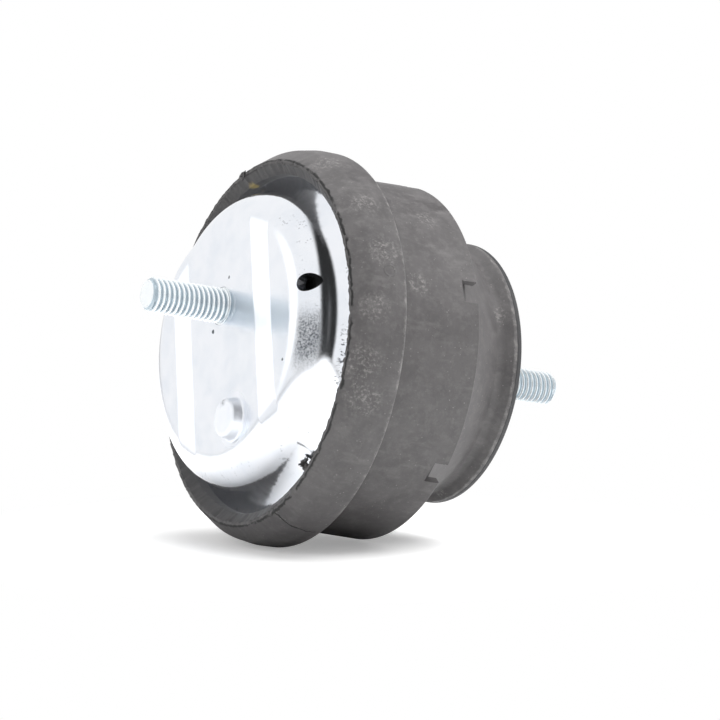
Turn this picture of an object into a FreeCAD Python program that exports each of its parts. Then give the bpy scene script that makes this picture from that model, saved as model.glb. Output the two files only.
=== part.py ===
import FreeCAD, Part
import math
import os

import Sketcher

# Hydraulic rubber-to-metal engine mount, millimetres.
# Frame: the Z axis is the mount's own axis. Z = 0 is the seat face of the pressed base pan, which bolts down,
# and +Z runs up through the rubber spring to the stud that carries the engine bracket.
# +X runs along the seat strip of the pan, from the offset base stud towards the locating boss.

SIZES = [
    ("stack_radius", 41.0, "pan flange and everything clamped on it"),
    ("pan_sheet", 2.0, "thickness of the pressed base pan"),
    ("pan_depth", 12.1, "seat face to the lower face of the flange"),
    ("flange_width", 5.1, "pan flange, from its edge in to the conical wall"),
    ("wall_run", 4.6, "how far the pan's wall leans inwards over its depth"),
    ("nose_round", 9.0, "outside bend between the face and the wall"),
    ("nose_hollow", 7.0, "inside of that bend"),
    ("foot_round", 3.4, "outside bend between the wall and the flange"),
    ("strip_half_width", 14.0, "seat strip, the middle step of the face, from its middle"),
    ("strip_ramp", 5.1, "width of the ramp on each side of the strip"),
    ("strip_step", 1.3, "from the strip down to the panel on its +Y side, and up to the one on its -Y side"),
    ("thread_radius", 4.0, "M8 studs, outside the thread"),
    ("shank_step", 0.3, "how much thicker the pressed shank of a stud is than its thread"),
    ("stud_fit", 0.05, "radial gap round a shank in its hole"),
    ("stud_point", 0.9, "chamfer on the end of each stud"),
    ("base_stud_offset", 7.5, "base stud, from the axis"),
    ("base_stud_reach", 19.0, "base stud, free length below the seat face"),
    ("base_head_radius", 8.0, "head of the base stud inside the pan"),
    ("base_head_height", 3.0, "height of that head"),
    ("boss_offset", 20.2, "locating boss, along the strip"),
    ("boss_sideways", 3.0, "locating boss, across the strip"),
    ("boss_radius", 4.2, "locating boss, at its end"),
    ("boss_taper", 0.6, "how much wider the boss is at the seat face"),
    ("boss_height", 2.6, "locating boss, below the seat face"),
    ("boss_round", 0.9, "rounding of the boss's end"),
    ("boss_wall", 1.3, "sheet left round the drawn boss"),
    ("vent_radius", 2.1, "breather hole in the wall of the pan"),
    ("vent_inset", 4.4, "middle of the breather hole, in from the foot of that wall"),
    ("vent_angle", 95.0, "breather hole, degrees clockwise from +X seen from above"),
    ("sleeve_sheet", 1.8, "thickness of the steel sleeve"),
    ("crimp_gap", 0.2, "gap round the clamped stack inside the sleeve"),
    ("hem_width", 1.7, "how far the sleeve is folded in under the pan flange"),
    ("shoulder_width", 4.7, "shoulder between the sleeve's crimp and its can"),
    ("sleeve_bend", 2.2, "outer bend radius of the crimp"),
    ("diaphragm_rim", 1.5, "thickness of the diaphragm's clamped rim"),
    ("diaphragm_wall", 1.4, "thickness of the diaphragm"),
    ("cover_seat", 0.8, "how far that rim reaches in under the channel cover"),
    ("fold_margin", 4.0, "from the rim's inner edge in to the fold"),
    ("fold_width", 4.6, "width of the fold"),
    ("fold_clearance", 4.1, "from the pan's -Y panel up to the fold"),
    ("dome_margin", 6.0, "from the fold in to the flat middle"),
    ("dome_rise", 4.2, "height of the flat middle above the fold"),
    ("channel_rim", 1.6, "clamped rim of the channel body"),
    ("hub_height", 6.4, "channel body, whole height"),
    ("hub_fit", 0.2, "radial gap between the channel body and the lining"),
    ("recess_wall", 1.2, "channel body, wall round the cover's recess"),
    ("cover_sheet", 1.5, "thickness of the channel cover"),
    ("cover_fit", 0.1, "radial gap round the cover in its recess"),
    ("track_land", 2.4, "from the cover's edge in to the damping channel"),
    ("track_width", 6.0, "width of the damping channel"),
    ("track_depth", 3.4, "depth of the damping channel"),
    ("track_angle", 320.0, "how far the damping channel runs round, degrees"),
    ("port_radius", 2.4, "hole at each end of the damping channel"),
    ("port_inset", 10.0, "each port, degrees in from the end of the channel"),
    ("decoupler_radius", 19.0, "decoupler membrane"),
    ("decoupler_sheet", 2.0, "thickness of the decoupler membrane"),
    ("decoupler_play", 0.3, "free play round and above the decoupler"),
    ("grid_hole_radius", 3.0, "holes above and below the decoupler"),
    ("grid_ring_radius", 11.5, "ring of those holes"),
    ("grid_count", 6, "holes in that ring"),
    ("lip_cover", 0.9, "how far the rubber lip reaches in past the sleeve's hem"),
    ("lip_foot", 0.4, "rubber over the hem at the lip's inner edge"),
    ("lip_slope", 2.4, "width of the lip's sloping face"),
    ("lip_rise", 1.8, "height of the lip's sloping face"),
    ("lip_crest", 0.5, "width of the lip's crest"),
    ("bead_wall", 2.0, "rubber bead, outside the crimp"),
    ("bead_lean", 0.7, "how far the bead's front shoulder lies inside its largest radius"),
    ("bead_front", 4.3, "from the lip's crest up to the bead's front shoulder"),
    ("bead_rise", 4.0, "from that shoulder up to the bead's largest radius"),
    ("bead_back_wall", 1.4, "rubber over the sleeve's shoulder"),
    ("bead_round", 3.0, "rounding of the bead's front"),
    ("skin_wall", 1.9, "rubber over the sleeve, next to the bead"),
    ("skin_taper", 0.6, "how much thicker that skin is at the body's upper edge"),
    ("body_length", 21.5, "bead to the body's upper edge"),
    ("edge_round", 0.8, "rounding of rubber edges"),
    ("skirt_wall", 1.9, "rubber skirt above the sleeve"),
    ("notch_count", 6, "notches in the skirt"),
    ("notch_width", 5.2, "width of a notch"),
    ("notch_depth", 4.0, "depth of a notch, along the axis"),
    ("notch_angle", 34.0, "first notch, degrees clockwise from +X seen from above"),
    ("sleeve_cover", 0.9, "rubber between a notch and the sleeve's upper edge"),
    ("valley_cover", 1.4, "rubber over that edge, at the root of the skirt"),
    ("core_stand", 17.1, "from the body's upper edge to the top of the core"),
    ("plate_radius", 30.3, "core plate, and the rubber under it"),
    ("plate_sheet", 1.2, "thickness of the core plate"),
    ("rim_edge", 0.8, "edge of the rubber under the core plate"),
    ("neck_drop", 2.9, "from that edge down to the neck"),
    ("neck_depth", 2.1, "how far the neck lies inside the plate's edge"),
    ("neck_round", 2.4, "rounding in the neck"),
    ("core_cover", 4.2, "rubber between the neck and the core"),
    ("core_height", 28.0, "height of the core"),
    ("core_shoulder", 4.0, "straight part of the core under its top"),
    ("core_nose_radius", 12.5, "core, at its lower end"),
    ("core_nose_bevel", 1.4, "bevel round the core's lower end"),
    ("core_head_radius", 7.5, "head of the core stud"),
    ("core_head_height", 5.0, "height of that head"),
    ("core_stud_reach", 28.3, "core stud, free length above the core plate"),
    ("spring_film", 1.0, "rubber beside the core's lower end"),
    ("lining_wall", 1.6, "rubber lining inside the sleeve"),
    ("chamber_gap", 3.0, "from the channel body up to the spring's hollow"),
]

# Radii that follow from the sizes, as expressions on the sheet, from the pan outwards.
FOOT_RADIUS = "(Sizes.stack_radius - Sizes.flange_width)"
NOSE_RADIUS = f"({FOOT_RADIUS} - Sizes.wall_run)"
SLOPE = "(Sizes.wall_run / Sizes.pan_depth)"
LEAN = f"Sizes.pan_sheet * (sqrt(1 + {SLOPE} ^ 2) - {SLOPE})"
VENT_OFFSET = f"({FOOT_RADIUS} - Sizes.vent_inset)"
CRIMP_RADIUS = "(Sizes.stack_radius + Sizes.crimp_gap)"
CRIMP_OUTSIDE = f"({CRIMP_RADIUS} + Sizes.sleeve_sheet)"
HEM_RADIUS = "(Sizes.stack_radius - Sizes.hem_width)"
CAN_INSIDE = f"({CRIMP_RADIUS} - Sizes.shoulder_width)"
CAN_RADIUS = f"({CAN_INSIDE} + Sizes.sleeve_sheet)"
LINING_RADIUS = f"({CAN_INSIDE} - Sizes.lining_wall)"
HUB_RADIUS = f"({LINING_RADIUS} - Sizes.hub_fit)"
RECESS_RADIUS = f"({HUB_RADIUS} - Sizes.recess_wall)"
COVER_RADIUS = f"({RECESS_RADIUS} - Sizes.cover_fit)"
RIM_INNER = f"({COVER_RADIUS} - Sizes.cover_seat)"
FOLD_OUTER = f"({RIM_INNER} - Sizes.fold_margin)"
FOLD_INNER = f"({FOLD_OUTER} - Sizes.fold_width)"
DOME_RADIUS = f"({FOLD_INNER} - Sizes.dome_margin)"
TRACK_OUTER = f"({COVER_RADIUS} - Sizes.track_land)"
TRACK_INNER = f"({TRACK_OUTER} - Sizes.track_width)"
TRACK_MIDDLE = f"({TRACK_OUTER} - Sizes.track_width / 2)"
POCKET_RADIUS = "(Sizes.decoupler_radius + Sizes.decoupler_play)"
LIP_RADIUS = f"({HEM_RADIUS} - Sizes.lip_cover)"
LIP_CREST_INNER = f"({LIP_RADIUS} + Sizes.lip_slope)"
LIP_CREST_OUTER = f"({LIP_CREST_INNER} + Sizes.lip_crest)"
BEAD_RADIUS = f"({CRIMP_OUTSIDE} + Sizes.bead_wall)"
BEAD_SHOULDER = f"({BEAD_RADIUS} - Sizes.bead_lean)"
BODY_FRONT = f"({CAN_RADIUS} + Sizes.skin_wall)"
BODY_BACK = f"({BODY_FRONT} + Sizes.skin_taper)"
SKIRT_INSIDE = f"({BODY_BACK} - Sizes.skirt_wall)"
NECK_RADIUS = "(Sizes.plate_radius - Sizes.neck_depth)"
CORE_RADIUS = f"({NECK_RADIUS} - Sizes.core_cover)"
SHANK_RADIUS = "(Sizes.thread_radius + Sizes.shank_step)"
SHANK_HOLE = f"({SHANK_RADIUS} + Sizes.stud_fit)"
HEAD_POCKET = "(Sizes.core_head_radius + Sizes.stud_fit)"

# The angle of each port, either way from the middle of the damping channel.
PORT_TURN = "((Sizes.track_angle / 2 - Sizes.port_inset) * 1 deg)"

# Heights that follow from the sizes, from the seat face upwards.
HEM_BOTTOM = "(Sizes.pan_depth - Sizes.sleeve_sheet)"
LIP_FOOT = f"({HEM_BOTTOM} - Sizes.lip_foot)"
LIP_CREST = f"({LIP_FOOT} - Sizes.lip_rise)"
BEAD_FRONT = f"({LIP_CREST} + Sizes.bead_front)"
BEAD_CREST = f"({BEAD_FRONT} + Sizes.bead_rise)"
FLANGE_TOP = "(Sizes.pan_depth + Sizes.pan_sheet)"
FOLD_HEIGHT = "(Sizes.pan_sheet + Sizes.strip_step + Sizes.fold_clearance)"
DOME_HEIGHT = f"({FOLD_HEIGHT} + Sizes.dome_rise)"
RIM_TOP = f"({FLANGE_TOP} + Sizes.diaphragm_rim)"
STACK_TOP = f"({RIM_TOP} + Sizes.channel_rim)"
COVER_TOP = f"({RIM_TOP} + Sizes.cover_sheet)"
TRACK_TOP = f"({COVER_TOP} + Sizes.track_depth)"
POCKET_TOP = f"({COVER_TOP} + Sizes.decoupler_sheet + Sizes.decoupler_play)"
HUB_TOP = f"({RIM_TOP} + Sizes.hub_height)"
CHAMBER_HEIGHT = f"({HUB_TOP} + Sizes.chamber_gap)"
SHOULDER_TOP = f"({STACK_TOP} + Sizes.sleeve_sheet)"
BEAD_BACK = f"({SHOULDER_TOP} + Sizes.bead_back_wall)"
BODY_TOP = f"({BEAD_BACK} + Sizes.body_length)"
NOTCH_BOTTOM = f"({BODY_TOP} - Sizes.notch_depth)"
SLEEVE_TOP = f"({NOTCH_BOTTOM} - Sizes.sleeve_cover)"
VALLEY = f"({SLEEVE_TOP} + Sizes.valley_cover)"
CORE_TOP = f"({BODY_TOP} + Sizes.core_stand)"
PLATE_TOP = f"({CORE_TOP} + Sizes.plate_sheet)"
RIM_EDGE = f"({CORE_TOP} - Sizes.rim_edge)"
NECK = f"({RIM_EDGE} - Sizes.neck_drop)"
CORE_NOSE = f"({CORE_TOP} - Sizes.core_height)"
HEAD_TOP = f"({CORE_NOSE} + Sizes.core_head_height)"

NODES = [
    "base_pan",
    "base_stud",
    "diaphragm",
    "channel_cover",
    "decoupler",
    "channel_body",
    "outer_sleeve",
    "rubber_body",
    "core",
    "core_plate",
    "core_stud",
]


def write_sheet(doc):
    """The sheet of driving dimensions: name, value and what it measures, one row each."""
    sheet = doc.addObject("Spreadsheet::Sheet", "Sizes")
    for row, (name, size, meaning) in enumerate(SIZES, start=1):
        sheet.set(f"A{row}", meaning)
        sheet.set(f"B{row}", str(size))
        sheet.setAlias(f"B{row}", name)
    doc.recompute()
    return sheet


def worth(obj, expression):
    """The number that an expression on the sheet comes to."""
    return float(obj.evalExpression(expression))


def origin_plane(body, role):
    """One of the body's own origin planes, such as XZ_Plane."""
    for feature in body.Origin.OriginFeatures:
        if feature.Role == role:
            return feature
    raise ValueError(role)


def outline(body, name, corners, role="XZ_Plane"):
    """A closed outline of straight lines; each corner is a pair of expressions, across and up."""
    sketch = body.newObject("Sketcher::SketchObject", name)
    sketch.AttachmentSupport = [(origin_plane(body, role), "")]
    sketch.MapMode = "FlatFace"
    points = [FreeCAD.Vector(worth(sketch, across), worth(sketch, up), 0) for across, up in corners]
    for start, end in zip(points, points[1:] + points[:1]):
        sketch.addGeometry(Part.LineSegment(start, end), False)
    for index in range(len(points)):
        following = (index + 1) % len(points)
        sketch.addConstraint(Sketcher.Constraint("Coincident", index, 2, following, 1))
    for index, (across, up) in enumerate(corners):
        for kind, axis, expression in (("DistanceX", -2, across), ("DistanceY", -1, up)):
            if expression == "0":
                sketch.addConstraint(Sketcher.Constraint("PointOnObject", index, 1, axis))
                continue
            size = worth(sketch, expression)
            place = sketch.addConstraint(Sketcher.Constraint(kind, -1, 1, index, 1, size))
            sketch.setExpression(f"Constraints[{place}]", expression)
    return sketch


def ring_at(sketch, name, radius, across, up):
    """A full circle added to a sketch, with its radius and centre bound to expressions."""
    centre = FreeCAD.Vector(worth(sketch, across), worth(sketch, up), 0)
    circle = sketch.addGeometry(Part.Circle(centre, FreeCAD.Vector(0, 0, 1), worth(sketch, radius)), False)
    place = sketch.addConstraint(Sketcher.Constraint("Radius", circle, worth(sketch, radius)))
    sketch.setExpression(f"Constraints[{place}]", radius)
    for kind, axis, expression in (("DistanceX", -2, across), ("DistanceY", -1, up)):
        if expression == "0":
            sketch.addConstraint(Sketcher.Constraint("PointOnObject", circle, 3, axis))
            continue
        size = worth(sketch, expression)
        place = sketch.addConstraint(Sketcher.Constraint(kind, -1, 1, circle, 3, size))
        sketch.setExpression(f"Constraints[{place}]", expression)
    return circle


def turned(doc, name, corners):
    """A body turned about the Z axis from one outline in the XZ plane."""
    body = doc.addObject("PartDesign::Body", name)
    sketch = outline(body, f"{name}_outline", corners)
    turn = body.newObject("PartDesign::Revolution", f"{name}_turn")
    turn.Profile = sketch
    turn.ReferenceAxis = (sketch, ["V_Axis"])
    turn.Angle = 360
    turn.Reversed = False
    doc.recompute()
    return body


def circles_at(shape, radius, height):
    """Names of the full circular edges about Z with this radius and height."""
    names = []
    for number, edge in enumerate(shape.Edges, start=1):
        curve = edge.Curve
        if not isinstance(curve, Part.Circle):
            continue
        on_axis = math.hypot(curve.Center.x, curve.Center.y) < 0.01
        if on_axis and abs(curve.Radius - radius) < 0.01 and abs(curve.Center.z - height) < 0.01:
            names.append(f"Edge{number}")
    return names


def soften(doc, body, kind, size, corner):
    """A Fillet or Chamfer on the circle that a corner of the outline turns into."""
    across, up = corner
    base = body.Tip
    edges = circles_at(base.Shape, worth(base, across), worth(base, up))
    if not edges:
        raise ValueError(f"{body.Name} has no edge at {across}, {up}")
    feature = body.newObject(f"PartDesign::{kind}", f"{body.Name}_{kind.lower()}")
    feature.Base = (base, edges)
    feature.setExpression("Radius" if kind == "Fillet" else "Size", size)
    doc.recompute()
    return feature


def drill(doc, body, name, rings, low, high):
    """Round holes through the body, parallel to Z, from one height to the other."""
    sketch = body.newObject("Sketcher::SketchObject", f"{name}_sketch")
    sketch.AttachmentSupport = [(origin_plane(body, "XY_Plane"), "")]
    sketch.MapMode = "FlatFace"
    sketch.setExpression("AttachmentOffset.Base.z", low)
    for radius, across, up in rings:
        ring_at(sketch, name, radius, across, up)
    hole = body.newObject("PartDesign::Pocket", name)
    hole.Profile = sketch
    hole.Type = "Length"
    hole.Reversed = True
    hole.setExpression("Length", f"{high} - {low}")
    doc.recompute()
    return hole


def repeat(doc, body, feature, name, count):
    """A feature repeated evenly round the Z axis."""
    pattern = body.newObject("PartDesign::PolarPattern", name)
    pattern.Originals = [feature]
    pattern.Axis = (origin_plane(body, "Z_Axis"), [""])
    pattern.Angle = 360
    pattern.setExpression("Occurrences", count)
    body.Tip = pattern
    doc.recompute()
    return pattern


def pan_form(doc, name, rise, narrower, over, nose_bend, foot_bend):
    """One side of the pressing as a full form: nose, conical wall, flange, and a face in three steps."""
    low = f"{rise} - Sizes.strip_step"
    high = f"{rise} + Sizes.strip_step"
    nose = (f"{NOSE_RADIUS} - {narrower} - {SLOPE} * Sizes.strip_step", low)
    foot = (f"{FOOT_RADIUS} - {narrower}", f"Sizes.pan_depth + {rise}")
    top = f"Sizes.pan_depth + {rise} + Sizes.pan_sheet"
    edge = f"Sizes.stack_radius + {over}"
    body = turned(doc, name, [("0", low), nose, foot, (edge, foot[1]), (edge, top), ("0", top)])
    steps = [
        ("Sizes.strip_half_width + Sizes.strip_ramp", low),
        ("Sizes.strip_half_width", rise),
        ("-Sizes.strip_half_width", rise),
        ("-Sizes.strip_half_width - Sizes.strip_ramp", high),
        (f"-({edge})", high),
        (f"-({edge})", low),
    ]
    sketch = outline(body, f"{name}_steps", steps, role="YZ_Plane")
    soften(doc, body, "Fillet", nose_bend, nose)
    soften(doc, body, "Fillet", foot_bend, foot)
    face = body.newObject("PartDesign::Pocket", f"{name}_face")
    face.Profile = sketch
    face.Type = "Length"
    face.Midplane = True
    face.setExpression("Length", f"2 * ({edge})")
    body.Tip = face
    doc.recompute()
    return body


def cylinder(doc, name, radius, height, place):
    """A Part cylinder along Z, with its radius, height and foot bound to expressions."""
    solid = doc.addObject("Part::Cylinder", name)
    solid.setExpression("Radius", radius)
    solid.setExpression("Height", height)
    for axis, expression in zip("xyz", place):
        solid.setExpression(f"Placement.Base.{axis}", expression)
    doc.recompute()
    return solid


def boss_form(doc, place):
    """The locating boss as a full form: a slight cone out of the seat face, with a rounded end."""
    cone = doc.addObject("Part::Cone", "boss_outside")
    cone.setExpression("Radius1", "Sizes.boss_radius")
    cone.setExpression("Radius2", "Sizes.boss_radius + Sizes.boss_taper")
    cone.setExpression("Height", "Sizes.boss_height")
    for axis, expression in zip("xyz", place):
        cone.setExpression(f"Placement.Base.{axis}", expression)
    doc.recompute()
    rounding = worth(cone, "Sizes.boss_round")
    edges = [
        (number, rounding, rounding)
        for number, edge in enumerate(cone.Shape.Edges, start=1)
        if isinstance(edge.Curve, Part.Circle) and abs(edge.Curve.Radius - cone.Radius1.Value) < 0.01
    ]
    rounded = doc.addObject("Part::Fillet", "boss_rounded")
    rounded.Base = cone
    rounded.Edges = edges
    root_place = place[:2] + ("0",)
    root = cylinder(doc, "boss_root", "Sizes.boss_radius + Sizes.boss_taper", "Sizes.pan_sheet", root_place)
    boss = doc.addObject("Part::MultiFuse", "boss")
    boss.Shapes = [rounded, root]
    doc.recompute()
    return boss


def base_pan(doc):
    """Pressed steel pan: stepped face, drawn locating boss, stud hole and breather hole."""
    outside = pan_form(doc, "pan_outside", "0", "0", "0", "Sizes.nose_round", "Sizes.foot_round")
    inside = pan_form(
        doc, "pan_inside", "Sizes.pan_sheet", LEAN, "Sizes.pan_sheet",
        "Sizes.nose_hollow", "Sizes.foot_round + Sizes.pan_sheet",
    )
    boss_place = ("Sizes.boss_offset", "-Sizes.boss_sideways", "-Sizes.boss_height")
    boss = boss_form(doc, boss_place)
    hollow_place = boss_place[:2] + ("Sizes.boss_wall - Sizes.boss_height",)
    hollow_depth = "Sizes.boss_height + 2 * Sizes.pan_sheet"
    hollow = cylinder(doc, "boss_inside", "Sizes.boss_radius - Sizes.boss_wall", hollow_depth, hollow_place)
    stud_place = ("-Sizes.base_stud_offset", "0", "-Sizes.pan_sheet")
    stud_hole = cylinder(doc, "stud_hole", SHANK_HOLE, "3 * Sizes.pan_sheet", stud_place)
    turn = "Sizes.vent_angle * 1 deg"
    vent_place = (f"{VENT_OFFSET} * cos({turn})", f"-{VENT_OFFSET} * sin({turn})", "0")
    vent = cylinder(doc, "vent_hole", "Sizes.vent_radius", "Sizes.pan_depth", vent_place)
    blank = doc.addObject("Part::MultiFuse", "pan_blank")
    blank.Shapes = [outside, boss]
    holes = doc.addObject("Part::MultiFuse", "pan_holes")
    holes.Shapes = [inside, hollow, stud_hole, vent]
    doc.recompute()
    pan = doc.addObject("Part::Cut", "base_pan")
    pan.Base = blank
    pan.Tool = holes
    doc.recompute()
    return pan


def stud(doc, name, head_radius, head_height, shank_end, length):
    """A headed stud in its own frame: the head stands on its origin, and the shank and thread run up +Z."""
    tip = ("Sizes.thread_radius", length)
    body = turned(doc, name, [
        ("0", "0"),
        (head_radius, "0"),
        (head_radius, head_height),
        (SHANK_RADIUS, head_height),
        (SHANK_RADIUS, shank_end),
        ("Sizes.thread_radius", shank_end),
        tip,
        ("0", length),
    ])
    soften(doc, body, "Chamfer", "Sizes.stud_point", tip)
    return body


def base_stud(doc):
    """M8 stud pressed into the pan from inside, with its thread pointing down through the seat face."""
    shank_end = "Sizes.base_head_height + Sizes.pan_sheet"
    length = f"{shank_end} + Sizes.base_stud_reach"
    body = stud(doc, "base_stud", "Sizes.base_head_radius", "Sizes.base_head_height", shank_end, length)
    body.Placement = FreeCAD.Placement(FreeCAD.Vector(), FreeCAD.Rotation(FreeCAD.Vector(1, 0, 0), 180))
    body.setExpression("Placement.Base.x", "-Sizes.base_stud_offset")
    body.setExpression("Placement.Base.z", shank_end)
    return body


def core_stud(doc):
    """M8 stud pressed into the core from below, with its thread standing above the core plate."""
    shank_end = f"{PLATE_TOP} - {CORE_NOSE}"
    length = f"{shank_end} + Sizes.core_stud_reach"
    body = stud(doc, "core_stud", "Sizes.core_head_radius", "Sizes.core_head_height", shank_end, length)
    body.setExpression("Placement.Base.z", CORE_NOSE)
    return body


def diaphragm(doc):
    """Rubber diaphragm that closes the lower fluid chamber: clamped rim, one deep fold, flat middle."""
    shift = "Sizes.diaphragm_wall / 2"
    fold_top = f"{FOLD_HEIGHT} + Sizes.diaphragm_wall"
    dome_top = f"{DOME_HEIGHT} + Sizes.diaphragm_wall"
    body = turned(doc, "diaphragm", [
        ("0", DOME_HEIGHT),
        (DOME_RADIUS, DOME_HEIGHT),
        (FOLD_INNER, FOLD_HEIGHT),
        (FOLD_OUTER, FOLD_HEIGHT),
        (f"{RIM_INNER} + Sizes.diaphragm_wall", FLANGE_TOP),
        ("Sizes.stack_radius", FLANGE_TOP),
        ("Sizes.stack_radius", RIM_TOP),
        (RIM_INNER, RIM_TOP),
        (f"{FOLD_OUTER} - {shift}", fold_top),
        (f"{FOLD_INNER} + {shift}", fold_top),
        (f"{DOME_RADIUS} + {shift}", dome_top),
        ("0", dome_top),
    ])
    soften(doc, body, "Fillet", "Sizes.diaphragm_wall", (FOLD_INNER, FOLD_HEIGHT))
    soften(doc, body, "Fillet", "Sizes.diaphragm_wall", (FOLD_OUTER, FOLD_HEIGHT))
    return body


def grid(doc, body, low, high):
    """The middle hole and the ring of holes that let fluid press on the decoupler."""
    drill(doc, body, f"{body.Name}_middle_hole", [("Sizes.grid_hole_radius", "0", "0")], low, high)
    first = [("Sizes.grid_hole_radius", "Sizes.grid_ring_radius", "0")]
    hole = drill(doc, body, f"{body.Name}_ring_hole", first, low, high)
    repeat(doc, body, hole, f"{body.Name}_ring_of_holes", "Sizes.grid_count")


def port(side):
    """The hole at one end of the damping channel, on the side that the sign gives."""
    across = f"{TRACK_MIDDLE} * cos({PORT_TURN})"
    up = f"{side}{TRACK_MIDDLE} * sin({PORT_TURN})"
    return [("Sizes.port_radius", across, up)]


def channel_cover(doc):
    """Pressed cover under the channel body, with the damping channel's lower port."""
    body = turned(doc, "channel_cover", [
        ("0", RIM_TOP),
        (COVER_RADIUS, RIM_TOP),
        (COVER_RADIUS, COVER_TOP),
        ("0", COVER_TOP),
    ])
    drill(doc, body, "lower_port", port(""), RIM_TOP, COVER_TOP)
    grid(doc, body, RIM_TOP, COVER_TOP)
    return body


def channel_body(doc):
    """Cast channel body: clamped rim, damping channel in its underside, decoupler pocket, port and grid."""
    body = turned(doc, "channel_body", [
        ("0", POCKET_TOP),
        (POCKET_RADIUS, POCKET_TOP),
        (POCKET_RADIUS, COVER_TOP),
        (RECESS_RADIUS, COVER_TOP),
        (RECESS_RADIUS, RIM_TOP),
        ("Sizes.stack_radius", RIM_TOP),
        ("Sizes.stack_radius", STACK_TOP),
        (HUB_RADIUS, STACK_TOP),
        (HUB_RADIUS, HUB_TOP),
        ("0", HUB_TOP),
    ])
    sketch = outline(body, "track_section", [
        (TRACK_INNER, COVER_TOP),
        (TRACK_OUTER, COVER_TOP),
        (TRACK_OUTER, TRACK_TOP),
        (TRACK_INNER, TRACK_TOP),
    ])
    track = body.newObject("PartDesign::Groove", "damping_channel")
    track.Profile = sketch
    track.ReferenceAxis = (sketch, ["V_Axis"])
    track.Midplane = True
    track.setExpression("Angle", "Sizes.track_angle")
    doc.recompute()
    drill(doc, body, "upper_port", port("-"), TRACK_TOP, HUB_TOP)
    grid(doc, body, POCKET_TOP, HUB_TOP)
    return body


def decoupler(doc):
    """Loose rubber disc that rests on the cover inside its pocket."""
    top = f"{COVER_TOP} + Sizes.decoupler_sheet"
    return turned(doc, "decoupler", [
        ("0", COVER_TOP),
        ("Sizes.decoupler_radius", COVER_TOP),
        ("Sizes.decoupler_radius", top),
        ("0", top),
    ])


def outer_sleeve(doc):
    """Steel sleeve: can, shoulder, and the crimp folded under the pan flange."""
    body = turned(doc, "outer_sleeve", [
        (HEM_RADIUS, HEM_BOTTOM),
        (CRIMP_OUTSIDE, HEM_BOTTOM),
        (CRIMP_OUTSIDE, SHOULDER_TOP),
        (CAN_RADIUS, SHOULDER_TOP),
        (CAN_RADIUS, SLEEVE_TOP),
        (CAN_INSIDE, SLEEVE_TOP),
        (CAN_INSIDE, STACK_TOP),
        (CRIMP_RADIUS, STACK_TOP),
        (CRIMP_RADIUS, "Sizes.pan_depth"),
        (HEM_RADIUS, "Sizes.pan_depth"),
    ])
    soften(doc, body, "Fillet", "Sizes.sleeve_bend", (CRIMP_OUTSIDE, HEM_BOTTOM))
    soften(doc, body, "Fillet", "Sizes.sleeve_bend", (CRIMP_OUTSIDE, SHOULDER_TOP))
    return body


def core(doc):
    """Conical aluminium core, bored for its stud and counterbored for the stud's head."""
    return turned(doc, "core", [
        (HEAD_POCKET, CORE_NOSE),
        ("Sizes.core_nose_radius - Sizes.core_nose_bevel", CORE_NOSE),
        ("Sizes.core_nose_radius", f"{CORE_NOSE} + Sizes.core_nose_bevel"),
        (CORE_RADIUS, f"{CORE_TOP} - Sizes.core_shoulder"),
        (CORE_RADIUS, CORE_TOP),
        (SHANK_HOLE, CORE_TOP),
        (SHANK_HOLE, HEAD_TOP),
        (HEAD_POCKET, HEAD_TOP),
    ])


def core_plate(doc):
    """Thin round plate on top of the core and its rubber."""
    return turned(doc, "core_plate", [
        (SHANK_HOLE, CORE_TOP),
        ("Sizes.plate_radius", CORE_TOP),
        ("Sizes.plate_radius", PLATE_TOP),
        (SHANK_HOLE, PLATE_TOP),
    ])


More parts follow.
